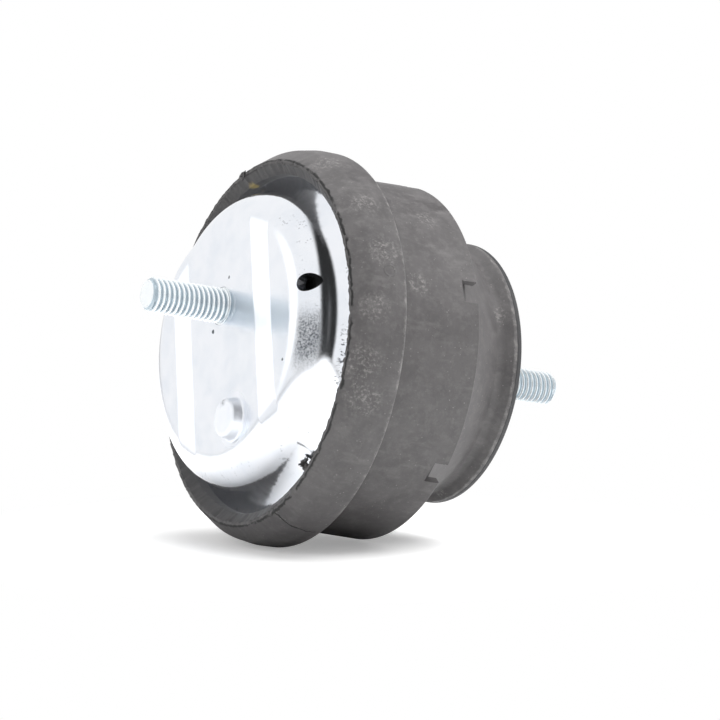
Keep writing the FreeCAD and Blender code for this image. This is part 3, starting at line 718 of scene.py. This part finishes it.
def cut(shape: BMesh, cutters: BMesh) -> BMesh:
    """Take one closed mesh out of another.

    Args:
        shape: The mesh to cut; it is freed.
        cutters: The mesh to take away; it is freed.

    Returns:
        What is left.
    """
    holders = []
    for name, mesh in (("whole", shape), ("cutter", cutters)):
        data = bpy.data.meshes.new(name)
        bmesh.ops.recalc_face_normals(mesh, faces=mesh.faces)
        mesh.to_mesh(data)
        mesh.free()
        holders.append(placed(name, data))
    change = holders[0].modifiers.new("cut", "BOOLEAN")
    change.operation = "DIFFERENCE"
    change.solver = "EXACT"
    change.object = holders[1]
    bpy.context.view_layer.update()
    final = holders[0].evaluated_get(bpy.context.evaluated_depsgraph_get())
    baked = bpy.data.meshes.new_from_object(final)
    result = bmesh.new()
    result.from_mesh(baked)
    bpy.data.meshes.remove(baked)
    for holder in holders:
        data = holder.data
        bpy.data.objects.remove(holder)
        bpy.data.meshes.remove(data)
    return result


def piece(shape: BMesh, name: str, node: str, material: Material,
          sharp: float = 28.0) -> Object:
    """Finish a mesh as a piece that stands for a CAD node.

    Args:
        shape: The mesh in millimetres; it is freed.
        name: The piece's name.
        node: The node that it replaces.
        material: Its finish.
        sharp: Edges that bend by more than this many degrees stay crisp.

    Returns:
        The object.
    """
    merge(shape, 0.002)
    bmesh.ops.recalc_face_normals(shape, faces=shape.faces)
    for face in shape.faces:
        face.smooth = True
    for edge in shape.edges:
        if len(edge.link_faces) == 2 and edge.calc_face_angle(0.0) > math.radians(sharp):
            edge.smooth = False
    bmesh.ops.scale(shape, vec=(MM, MM, MM), verts=shape.verts)
    data = bpy.data.meshes.new(name)
    shape.to_mesh(data)
    shape.free()
    data.materials.append(material)
    made = placed(name, data)
    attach(made, "root")
    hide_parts(node)
    return made


def span(node: str) -> tuple[Vector, Vector]:
    """A node's lowest and highest corners in millimetres."""
    low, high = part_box(node)
    return Vector(low) / MM, Vector(high) / MM


# Sub-assemblies


@dataclass(frozen=True)
class Pressing:
    """One face of the pan's sheet: a flat, a large rounding, the steep wall and a gentle toe."""

    corner: float
    level: float
    rounding: float
    toe: float
    toe_level: float
    hollow: float
    wall_angle: float = 72.5
    toe_angle: float = 22.0

    @property
    def slope(self) -> float:
        """The wall's steepness, as the tangent of its angle."""
        return math.tan(math.radians(self.wall_angle))

    @property
    def foot(self) -> Corner:
        """The hollow corner where the wall meets the toe.

        Returns:
            The corner.
        """
        gentle = math.tan(math.radians(self.toe_angle))
        rise = self.toe_level - self.level - (self.toe - self.corner) * gentle
        rise /= 1.0 - gentle / self.slope
        return Corner(self.corner + rise / self.slope, self.level + rise, self.hollow)

    @property
    def foot_start(self) -> float:
        """How far from the axis the hollow's rounding begins."""
        turn = math.radians(self.wall_angle - self.toe_angle)
        return self.foot.radius - self.hollow * math.tan(turn / 2) * math.cos(math.atan(self.slope))

    def height(self, reach: float, drop: float) -> float:
        """The height of the flat, the rounding and the wall.

        Args:
            reach: The distance from the axis.
            drop: How far the flat is pressed in here, less than 0 where it stands out.

        Returns:
            The height in millimetres.
        """
        angle = math.atan(self.slope)
        corner = self.corner + drop / self.slope
        start = corner - self.rounding * math.tan(angle / 2)
        if reach <= start:
            return self.level + drop
        if reach < start + self.rounding * math.sin(angle):
            sag = math.sqrt(self.rounding ** 2 - (reach - start) ** 2)
            return self.level + drop + self.rounding - sag
        return self.level + (reach - self.corner) * self.slope


@dataclass
class BasePan:
    """The pressed pan: a face in three steps, a steep wall, a flange, a boss and two holes."""

    sheet: float = 2.0
    nose_radius: float = 31.7
    nose_round: float = 8.0
    toe_radius: float = 38.3
    toe_hollow: float = 7.0
    strip_half: float = 14.0
    ramp: float = 5.1
    step: float = 1.3
    stud_place: tuple[float, float] = (-7.5, 0.0)
    stud_hole: float = 4.35
    boss_place: tuple[float, float] = (20.2, -3.0)
    boss_foot: float = 4.8
    boss_end: float = 4.2
    boss_height: float = 2.6
    boss_inside: float = 2.9
    vent_radius: float = 2.1
    vent_reach: float = 31.5
    vent_angle: float = -95.0
    drill_span: tuple[float, float] = (-2.0, 16.0)
    segments: int = 288
    hole_segments: int = 72
    drill_segments: int = 48
    finish: ZincSheet = field(default_factory=ZincSheet)

    def __post_init__(self) -> None:
        """Read the rim's reach and height from the frame."""
        low, high = span("base_pan")
        self.rim = (high.x - low.x) / 2 - 0.02
        self.top = high.z
        self.flange = high.z - self.sheet

    def ramp_line(self) -> list[Vector]:
        """Half of the face's cross-section, from its middle to past a panel.

        Returns:
            Its points.
        """
        return Outline((
            Corner(0.0, 0.0), Corner(self.strip_half, 0.0, 2.0),
            Corner(self.strip_half + self.ramp, self.step, 2.0),
            Corner(self.rim + 2.0, self.step)), chord=0.2, run=50.0).points()

    def panelled(self, shape: BMesh, face: Pressing) -> None:
        """Press the three steps and the rounding into a turned face of the sheet.

        Args:
            shape: The turned face.
            face: The form of this face, whose foot stays as it was turned.
        """
        line = self.ramp_line()
        for point in line[1:-1]:
            for side in (-1.0, 1.0):
                sliced(shape, (0.0, side * point.x, 0.0), (0.0, 1.0, 0.0))
        for vert in shape.verts:
            reach = vert.co.xy.length
            if reach > face.foot_start - 0.01:
                continue
            across = abs(vert.co.y)
            start, end = next(pair for pair in zip(line, line[1:]) if across <= pair[1].x + MERGE)
            share = max(0.0, (across - start.x) / (end.x - start.x))
            drop = start.z + (end.z - start.z) * share
            vert.co.z = face.height(reach, math.copysign(drop, -vert.co.y))

    def opened(self, shape: BMesh, level: float, rings: Sequence[BMesh]) -> BMesh:
        """Fill the flat strip anew, round the rims of what stands on it or goes through it.

        Args:
            shape: The panelled face; it is freed.
            level: The strip's height.
            rings: Meshes whose open edges at that height bound the strip; they are freed.

        Returns:
            The face and the rings as one mesh.
        """
        edge = self.ramp_line()[1].x + 0.001
        flat = [face for face in shape.faces
                if all(abs(v.co.z - level) < LEVEL and abs(v.co.y) < edge for v in face.verts)]
        bmesh.ops.delete(shape, geom=flat, context="FACES")
        whole = join((shape, *rings))
        merge(whole)
        bounds = [e for e in whole.edges if e.is_boundary
                  and all(abs(v.co.z - level) < LEVEL for v in e.verts)]
        filled = bmesh.ops.triangle_fill(whole, use_beauty=True, use_dissolve=False,
                                         edges=bounds, normal=(0.0, 0.0, -1.0))
        if not filled["geom"]:
            raise RuntimeError("the strip of the pan wasn't filled")
        return whole

    def stud_ring(self) -> BMesh:
        """The wall of the stud's hole.

        Returns:
            The ring.
        """
        return turned(Outline((
            Corner(self.stud_hole, 0.0), Corner(self.stud_hole, self.sheet))),
            self.hole_segments, self.stud_place)

    def build(self) -> Object:
        """Make the pan.

        Returns:
            The piece.
        """
        outer_form = Pressing(self.nose_radius, 0.0, self.nose_round,
                              self.toe_radius, self.flange, self.toe_hollow)
        nose_shift, toe_shift = (self.sheet * math.tan(math.radians(angle) / 2)
                                 for angle in (outer_form.wall_angle, outer_form.toe_angle))
        inner_form = Pressing(self.nose_radius - nose_shift, self.sheet,
                              self.nose_round - self.sheet, self.toe_radius - toe_shift,
                              self.top, self.toe_hollow + self.sheet)
        faces = []
        for form in (outer_form, inner_form):
            line = [Corner(0.0, form.level), Corner(form.corner, form.level), form.foot,
                    Corner(form.toe, form.toe_level), Corner(self.rim, form.toe_level)]
            if form is outer_form:
                line.append(Corner(self.rim, self.top))
            face = turned(Outline(tuple(line), run=0.5), self.segments)
            self.panelled(face, form)
            faces.append(face)
        outer = self.opened(faces[0], 0.0, (
            turned(Outline((
                Corner(self.boss_foot + 0.7, 0.0), Corner(self.boss_foot, 0.0, 0.55),
                Corner(self.boss_end, -self.boss_height, 0.9),
                Corner(0.0, -self.boss_height)), chord=0.15), self.hole_segments,
                self.boss_place),
            self.stud_ring()))
        hollow = self.sheet - self.boss_height - 0.7
        inner = self.opened(faces[1], self.sheet, (
            turned(Outline((
                Corner(self.boss_inside + 0.6, self.sheet),
                Corner(self.boss_inside, self.sheet, 0.4),
                Corner(self.boss_inside, hollow, 0.4), Corner(0.0, hollow)), chord=0.15),
                self.drill_segments, self.boss_place),
            self.stud_ring()))
        whole = join((outer, inner))
        merge(whole)
        angle = math.radians(self.vent_angle)
        low, high = self.drill_span
        drill = turned(Outline((
            Corner(0.0, low), Corner(self.vent_radius, low),
            Corner(self.vent_radius, high), Corner(0.0, high))), self.drill_segments,
            (self.vent_reach * math.cos(angle), self.vent_reach * math.sin(angle)))
        return piece(cut(whole, drill), "pan_sheet", "base_pan",
                     self.finish.material(), 22.0)


@dataclass
class Stud:
    """A headed stud with a rolled thread, pointing out of one end of the mount."""

    node: str
    name: str
    end: End
    axis_x: float
    seat: float
    head_radius: float
    head_height: float
    shank: float
    thread_radius: float = 4.0
    pitch: float = 1.25
    thread_depth: float = 0.66
    point: float = 0.78
    point_drop: float = 0.25
    point_slope: float = 0.9
    lead_slope: float = 2.5
    runout: float = 0.3
    runout_slope: float = 1.5
    steps: int = 60

    def __post_init__(self) -> None:
        """Read the stud's reach from the frame."""
        low, high = span(self.node)
        self.length = self.seat - low.z if self.end is End.BASE else high.z - self.seat

    def thread(self) -> BMesh:
        """Roll the thread as one turn of a line of teeth, lifted by a pitch.

        Returns:
            The thread from the seat to the stud's end, along +Z from 0.
        """
        crest, root = self.thread_radius, self.thread_radius - self.thread_depth
        flat, flank, ease, middle = 0.125, 0.3125, 0.03, (root + crest) / 2
        tooth = ((0.0, root), (flat, root), (flat + flank * 0.5, middle),
                 (flat + flank, crest - ease), (flat + flank + ease, crest),
                 (flat * 2 + flank - ease, crest), (flat * 2 + flank, crest - ease),
                 (flat * 2 + flank * 1.5, middle), (flat * 2 + flank * 2, root))
        shape = bmesh.new()
        count = math.ceil(self.length / self.pitch) + 3
        line: list[Vector] = []
        for turn in range(-2, count):
            line += [Vector((radius, 0.0, (turn + share) * self.pitch)) for share, radius in tooth]
        line.append(Vector((root, 0.0, count * self.pitch)))
        verts = [shape.verts.new(point) for point in line]
        edges = [shape.edges.new(pair) for pair in zip(verts, verts[1:])]
        bmesh.ops.spin(shape, geom=verts + edges, axis=(0, 0, 1), cent=(0, 0, 0),
                       angle=math.tau, steps=self.steps, use_merge=False,
                       dvec=(0.0, 0.0, self.pitch / self.steps))
        merge(shape, 0.003)
        for height, side in ((self.shank, 1.0), (self.length, -1.0)):
            sliced(shape, (0.0, 0.0, height), (0.0, 0.0, side), clear=True)
        for vert in shape.verts:
            left = self.length - vert.co.z
            if left < self.point:
                limit = root - self.point_drop + left * self.point_slope
            else:
                limit = root + (left - self.point) * self.lead_slope
            limit = min(limit, root + (vert.co.z - self.shank) * self.runout_slope + self.runout)
            reach = vert.co.xy.length
            if reach > limit:
                vert.co.xy *= limit / reach
        rims = [edge for edge in shape.edges if edge.is_boundary]
        bmesh.ops.holes_fill(shape, edges=rims, sides=0)
        return shape

    def build(self) -> Object:
        """Make the stud.

        Returns:
            The piece.
        """
        body = turned(Outline((
            Corner(0.0, -self.head_height),
            Corner(self.head_radius, -self.head_height, 0.5),
            Corner(self.head_radius, 0.0, 0.3),
            Corner(self.thread_radius + 0.3, 0.0),
            Corner(self.thread_radius + 0.3, self.shank, 0.15),
            Corner(0.0, self.shank + 0.001)), chord=0.2, run=1.0), 64)
        whole = join((body, self.thread()))
        if self.end is End.BASE:
            bmesh.ops.rotate(whole, verts=whole.verts, cent=(0, 0, 0),
                             matrix=Matrix.Rotation(math.pi, 3, "X"))
        bmesh.ops.translate(whole, verts=whole.verts, vec=(self.axis_x, 0.0, self.seat))
        finish = ZincThread(axis_x=self.axis_x)
        return piece(whole, self.name, self.node, finish.material(), 35.0)


@dataclass
class RubberBody:
    """The one-piece moulding: lip, bead, skin, notched skirt, cone and end flange."""

    lip_opening: float = 38.4
    lip_height: float = 9.9
    lip_crest: float = 8.1
    bead_height: float = 20.4
    skirt_top: float = 41.9
    skirt_radius: float = 40.8
    skirt_inside: float = 38.9
    groove: float = 38.4
    neck_radius: float = 28.2
    neck_height: float = 55.3
    notch_bottom: float = 37.9
    notch_angle: float = -34.0
    notch_offset: float = 1.1
    notch_block: Point = (2.6, 5.2, 6.0)
    notches: int = 6
    teeth: float = 64.0
    fray: float = 0.24
    crumbs: tuple[tuple[Point, Point], ...] = (
        ((34.1, -17.0, 9.3), (1.7, 0.40, 0.45)), ((33.4, -17.2, 9.2), (0.40, 1.3, 0.35)),
        ((33.9, -17.4, 8.9), (0.45, 0.40, 1.1)), ((35.0, -18.2, 9.0), (0.9, 0.8, 0.4)),
        ((-41.3, 1.5, 8.2), (0.7, 1.1, 0.5)),
        ((-24.3, 31.6, 8.2), (0.6, 0.9, 0.4)), ((10.5, 39.0, 8.4), (0.8, 0.7, 0.4)))
    segments: int = 540
    finish: MouldedRubber = field(default_factory=MouldedRubber)

    def __post_init__(self) -> None:
        """Read the bead's and the flange's reach from the frame."""
        low, high = span("rubber_body")
        self.bead = (high.x - low.x) / 2 - 0.01
        self.top = high.z
        self.flange = span("core_plate")[1].x - 0.01

    def outline(self) -> Outline:
        """The moulding's closed outline, with the sleeve and the core left out of it.

        Returns:
            The outline.
        """
        bead = self.bead
        return Outline((
            Corner(self.lip_opening, 12.1), Corner(self.lip_opening, self.lip_height, 0.35),
            Corner(40.6, self.lip_crest, 0.5), Corner(41.5, self.lip_crest, 0.6),
            Corner(bead - 0.7, 12.4, 3.0), Corner(bead, 16.4, 3.0),
            Corner(bead, self.bead_height, 0.8), Corner(40.2, self.bead_height, 0.4),
            Corner(self.skirt_radius, self.skirt_top, 0.5),
            Corner(self.skirt_inside, self.skirt_top, 0.3),
            Corner(self.skirt_inside, self.groove, 0.5),
            Corner(self.neck_radius, self.neck_height, 2.4),
            Corner(self.flange, self.neck_height + 2.9, 0.4), Corner(self.flange, self.top),
            Corner(24.0, self.top), Corner(24.0, 55.0), Corner(12.5, 32.4), Corner(11.1, 31.0),
            Corner(13.5, 31.0), Corner(34.9, 25.0), Corner(34.9, 17.2), Corner(36.5, 17.2),
            Corner(36.5, 37.0), Corner(38.3, 37.0), Corner(38.3, 19.0), Corner(43.0, 19.0, 2.2),
            Corner(43.0, 10.3, 2.2), Corner(39.3, 10.3), Corner(39.3, 12.1)),
            closed=True, chord=0.4, run=3.0)

    def ragged(self, shape: BMesh) -> None:
        """Fray the thin edge of the lip and its flash line.

        Args:
            shape: The turned moulding.
        """
        for vert in shape.verts:
            reach = vert.co.xy.length
            if vert.co.z > 12.0 or not 38.0 < reach < 42.2 or (reach < 39.4 and vert.co.z > 10.2):
                continue
            angle = math.atan2(vert.co.y, vert.co.x)
            seed = Vector((math.cos(angle) * 9.0, math.sin(angle) * 9.0, 3.1 + reach * 0.9))
            fray = noise.fractal(seed * 3.4, 0.7, 2.1, 4)
            tooth = (noise.cell(Vector((angle * self.teeth, 0.0, 1.0))) - 0.35) * (0.4 + abs(fray))
            near = 1.0 - min(1.0, abs(vert.co.z - self.lip_crest) / 2.2)
            inner = max(0.0, 1.0 - abs(reach - self.lip_opening) / 0.7)
            vert.co.xy *= 1.0 + (fray * self.fray - tooth * 0.40 * inner) * near / reach
            vert.co.z += (fray * 0.20 - tooth * 0.14) * near

    def cutters(self) -> BMesh:
        """The blocks that cut the notches through the skirt.

        Returns:
            The blocks as one mesh.
        """
        shapes = []
        for index in range(self.notches):
            block = bmesh.new()
            bmesh.ops.create_cube(block, size=1.0)
            bmesh.ops.scale(block, vec=self.notch_block, verts=block.verts)
            bmesh.ops.translate(block, verts=block.verts, vec=(
                self.skirt_inside + self.notch_offset, 0.0,
                self.notch_bottom + self.notch_block[2] / 2))
            bmesh.ops.rotate(block, verts=block.verts, cent=(0, 0, 0), matrix=Matrix.Rotation(
                math.radians(self.notch_angle + 360.0 / self.notches * index), 3, "Z"))
            shapes.append(block)
        return join(shapes)

    def flash(self) -> BMesh:
        """The torn bits of flash that still hang on the lip.

        Returns:
            The bits as one mesh.
        """
        shapes = []
        for centre, size in self.crumbs:
            crumb = bmesh.new()
            bmesh.ops.create_icosphere(crumb, subdivisions=4, radius=1.0)
            for vert in crumb.verts:
                vert.co *= 1.0 + 0.75 * noise.fractal(vert.co * 1.6 + Vector(centre), 0.8, 2.1, 4)
            bmesh.ops.scale(crumb, vec=size, verts=crumb.verts)
            turn = Matrix.Rotation(math.atan2(centre[1], centre[0]), 3, "Z")
            bmesh.ops.rotate(crumb, verts=crumb.verts, cent=(0, 0, 0), matrix=turn)
            bmesh.ops.translate(crumb, verts=crumb.verts, vec=centre)
            shapes.append(crumb)
        return join(shapes)

    def build(self) -> Object:
        """Make the moulding.

        Returns:
            The piece.
        """
        shape = turned(self.outline(), self.segments)
        self.ragged(shape)
        shape = join((cut(shape, self.cutters()), self.flash()))
        return piece(shape, "rubber_moulding", "rubber_body",
                     self.finish.material(), 32.0)


@dataclass
class EndPlate:
    """The thin black plate under the engine bracket."""

    hole: float = 4.35
    segments: int = 240
    finish: BlackCoat = field(default_factory=BlackCoat)

    def build(self) -> Object:
        """Make the plate.

        Returns:
            The piece.
        """
        low, high = span("core_plate")
        rim = high.x - 0.005
        shape = turned(Outline((
            Corner(self.hole, low.z, 0.15), Corner(rim, low.z, 0.3),
            Corner(rim, high.z, 0.3), Corner(self.hole, high.z, 0.15)),
            closed=True, chord=0.15), self.segments)
        return piece(shape, "end_plate", "core_plate", self.finish.material())


@dataclass
class InnerStack:
    """The parts closed up inside the mount, whose solids stay as they are."""

    def build(self) -> None:
        """Dress the inner nodes."""
        casting, membrane = Casting().material(), Membrane().material()
        finishes = {"diaphragm": membrane, "decoupler": membrane, "channel_cover": casting,
                    "channel_body": casting, "core": casting,
                    "outer_sleeve": PhosphatedSteel().material()}
        for name, material in finishes.items():
            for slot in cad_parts[name].material_slots:
                slot.material = material


@dataclass
class Studio:
    """The pale floor, the soft lights and the camera of the photograph."""

    down: Point = (0.9127, 0.3700, 0.1731)
    floor_distance: float = 0.04773
    floor_size: float = 3.0
    floor_colour: Colour = (0.92, 0.92, 0.92)
    floor_middle: Point = (0.0, 0.0, 30.0)
    floor_reach: float = 72.0
    floor_lift: float = 0.28
    camera_place: Point = (0.2677, -0.6335, -0.3717)
    image_right: Point = (0.0517, -0.5250, 0.8495)
    image_up: Point = (-0.9409, -0.3106, -0.1347)
    lens: float = 175.0
    sensor: float = 36.0
    lamp_target: Point = (0.0, 0.0, 0.03)
    soft_level: float = 0.44
    stripe_left: tuple[float, float] = (0.02, 0.20)
    stripe_right: tuple[float, float] = (0.60, 0.44)
    stripe_depth: float = 0.97
    ramp_glow: Point = (-0.95, 0.32, -0.05)
    glow_edge: tuple[float, float] = (0.94, 0.985)
    glow_gain: float = 0.35

    def floor(self) -> None:
        """Lay the floor under the bead and the body's rear edge."""
        down = Vector(self.down).normalized()
        shape = bmesh.new()
        bmesh.ops.create_grid(shape, x_segments=1, y_segments=1, size=self.floor_size)
        data = bpy.data.meshes.new("floor")
        shape.to_mesh(data)
        shape.free()
        turn = (-down).to_track_quat("Z", "Y").to_matrix().to_4x4()
        data.transform(Matrix.Translation(down * self.floor_distance) @ turn)
        made = placed("floor", data)
        s = Shader("floor")
        matt = s.node("BsdfDiffuse", {}, {"Color": (*self.floor_colour, 1.0)})
        lift = s.node("Emission", {}, {
            "Color": WHITE, "Strength": s.ray("Is Camera Ray") * self.floor_lift})
        lit = s.node("AddShader", {}, {0: matt.outputs[0], 1: lift.outputs[0]})
        white = s.node("Emission", {}, {"Color": WHITE, "Strength": 1.0})
        far = 1.0 - s.spot(self.floor_middle, self.floor_reach, self.floor_reach)
        faded = s.node("MixShader", {}, {
            0: far * s.ray("Is Camera Ray"), 1: lit.outputs[0], 2: white.outputs[0]})
        clear = s.node("BsdfTransparent")
        behind = s.node("NewGeometry").outputs["Backfacing"]
        sided = s.node("MixShader", {}, {
            0: behind, 1: faded.outputs[0], 2: clear.outputs[0]})
        s.node("OutputMaterial", {}, {"Surface": sided.outputs[0]})
        data.materials.append(s.material)

    def world(self) -> None:
        """Light the object from all round, with white behind it.

        The metal also mirrors a dark stripe at its right and a brighter patch on its ramps.
        """
        world = bpy.data.worlds.new("studio")
        bpy.context.scene.world = world
        world.use_nodes = True
        sky = Nodes(world.node_tree)
        ray = sky.node("TexCoord").outputs["Generated"]
        toward = Vector(self.image_right).cross(Vector(self.image_up))
        view = Matrix((self.image_right, self.image_up, toward)).transposed()
        glow = view @ Vector(self.ramp_glow)
        near = sky.measure("DOT_PRODUCT", ray, tuple(glow.normalized()))
        side = sky.measure("DOT_PRODUCT", ray, self.image_right)
        dark = side.step(*self.stripe_left) * side.step(*self.stripe_right)
        bright = near.step(*self.glow_edge) * self.glow_gain
        mirrored = (1.0 - dark * self.stripe_depth) * (1.0 + bright)
        soft = self.soft_level + (mirrored - self.soft_level) * sky.ray("Is Glossy Ray")
        seen = sky.ray("Is Camera Ray")
        back = sky.node("Background", {}, {
            "Color": WHITE, "Strength": soft * (1.0 - seen) + seen})
        sky.node("OutputWorld", {}, {"Surface": back.outputs[0]})

    def lamp(self, name: str, place: Vector, target: Vector, size: float, power: float) -> None:
        """Hang one square soft light that shiny metal doesn't mirror.

        Args:
            name: Its name.
            place: Where it hangs, in metres.
            target: What it points at.
            size: The length of its sides.
            power: Its power in watts.
        """
        data = bpy.data.lights.new(name, "AREA")
        data.shape = "SQUARE"
        data.size = size
        data.energy = power
        made = placed(name, data)
        turn = (place - target).to_track_quat("Z", "Y").to_matrix().to_4x4()
        made.matrix_world = Matrix.Translation(place) @ turn
        made.visible_glossy = False

    def camera(self) -> None:
        """Set up the camera as the photograph was taken."""
        right, up = Vector(self.image_right), Vector(self.image_up)
        data = bpy.data.cameras.new("camera")
        data.lens = self.lens
        data.sensor_width = self.sensor
        data.clip_end = 20.0
        made = placed("camera", data)
        turn = Matrix((right, up, right.cross(up))).transposed()
        made.matrix_world = Matrix.Translation(self.camera_place) @ turn.to_4x4()
        bpy.context.scene.camera = made

    def build(self) -> None:
        """Set up the whole studio."""
        self.floor()
        self.world()
        up = -Vector(self.down).normalized()
        centre = Vector(self.lamp_target)
        right = Vector(self.image_right)
        towards = right.cross(Vector(self.image_up))
        self.lamp("top_light", centre + up * 0.7 + right * 0.3 - towards * 0.05, centre,
                  size=1.0, power=14.0)
        self.lamp("front_light", centre + towards * 0.6 - right * 0.6 + up * 0.5, centre,
                  size=0.6, power=1.8)
        self.camera()
        bpy.context.scene.view_settings.view_transform = "Standard"


def main() -> None:
    """Build the mount in order and report each piece."""
    logging.basicConfig(level=logging.INFO, format="%(name)s: %(message)s")
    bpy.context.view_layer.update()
    makers: list[tuple[str, Callable[[], object]]] = [
        ("pan", BasePan().build),
        ("base stud", Stud(
            "base_stud", "base_stud_thread", End.BASE, axis_x=-7.5, seat=2.0,
            head_radius=8.0, head_height=3.0, shank=2.0).build),
        ("rubber moulding", RubberBody().build),
        ("end plate", EndPlate().build),
        ("core stud", Stud(
            "core_stud", "core_stud_thread", End.ENGINE, axis_x=0.0, seat=36.0,
            head_radius=7.5, head_height=5.0, shank=24.2).build),
        ("inner parts", InnerStack().build),
        ("studio", Studio().build),
    ]
    for name, make in makers:
        made = make()
        if isinstance(made, Object):
            LOG.info("%s: %d faces", name, len(made.data.polygons))
        else:
            LOG.info("%s done", name)


if __name__ == "__main__":
    main()
